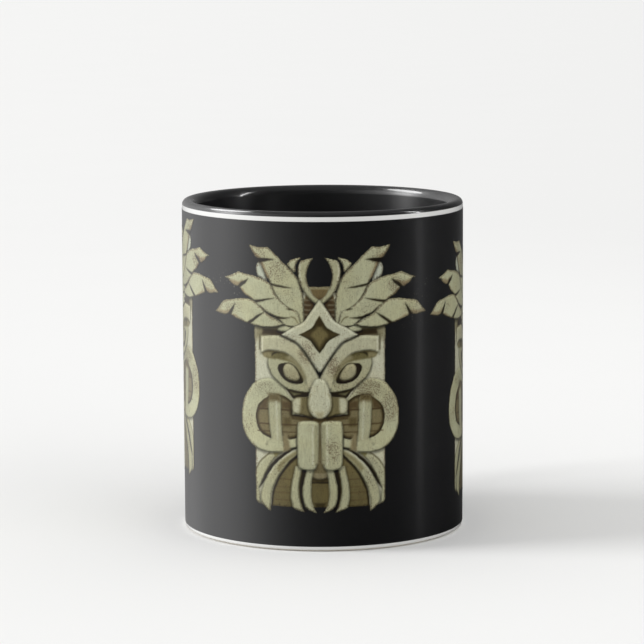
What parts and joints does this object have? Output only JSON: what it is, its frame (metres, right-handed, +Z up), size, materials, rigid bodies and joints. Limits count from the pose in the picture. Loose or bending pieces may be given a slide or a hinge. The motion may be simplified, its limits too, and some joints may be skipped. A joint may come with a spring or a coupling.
{
  "type": "printed straight-sided mug",
  "caption": "Straight-sided drinking mug with a rounded loop handle, a dark glazed inside and lip, and a dark printed band of carved-mask pictures.",
  "frame": {"origin": "centre of the foot ring, on the table", "axes": "+Z up along the cup's axis, +Y out through the handle, the printed side faces -Y"},
  "size_m": [0.082, 0.1153, 0.0965],
  "materials": {
    "clay": "fired, unglazed",
    "slip": "fired joining slip",
    "white_glaze": "glossy",
    "black_glaze": "glossy",
    "black_print": "satin film",
    "mask_print": "satin film"
  },
  "bodies": {
    "root": {"clay_body": "clay", "clay_handle": "clay", "upper_slip_joint": "slip", "lower_slip_joint": "slip", "liner_glaze": "black_glaze", "outer_glaze": "white_glaze", "base_glaze": "white_glaze", "handle_glaze": "black_glaze", "print_field": "black_print", "mask_left": "mask_print", "mask_centre": "mask_print", "mask_right": "mask_print"}
  },
  "joints": []
}
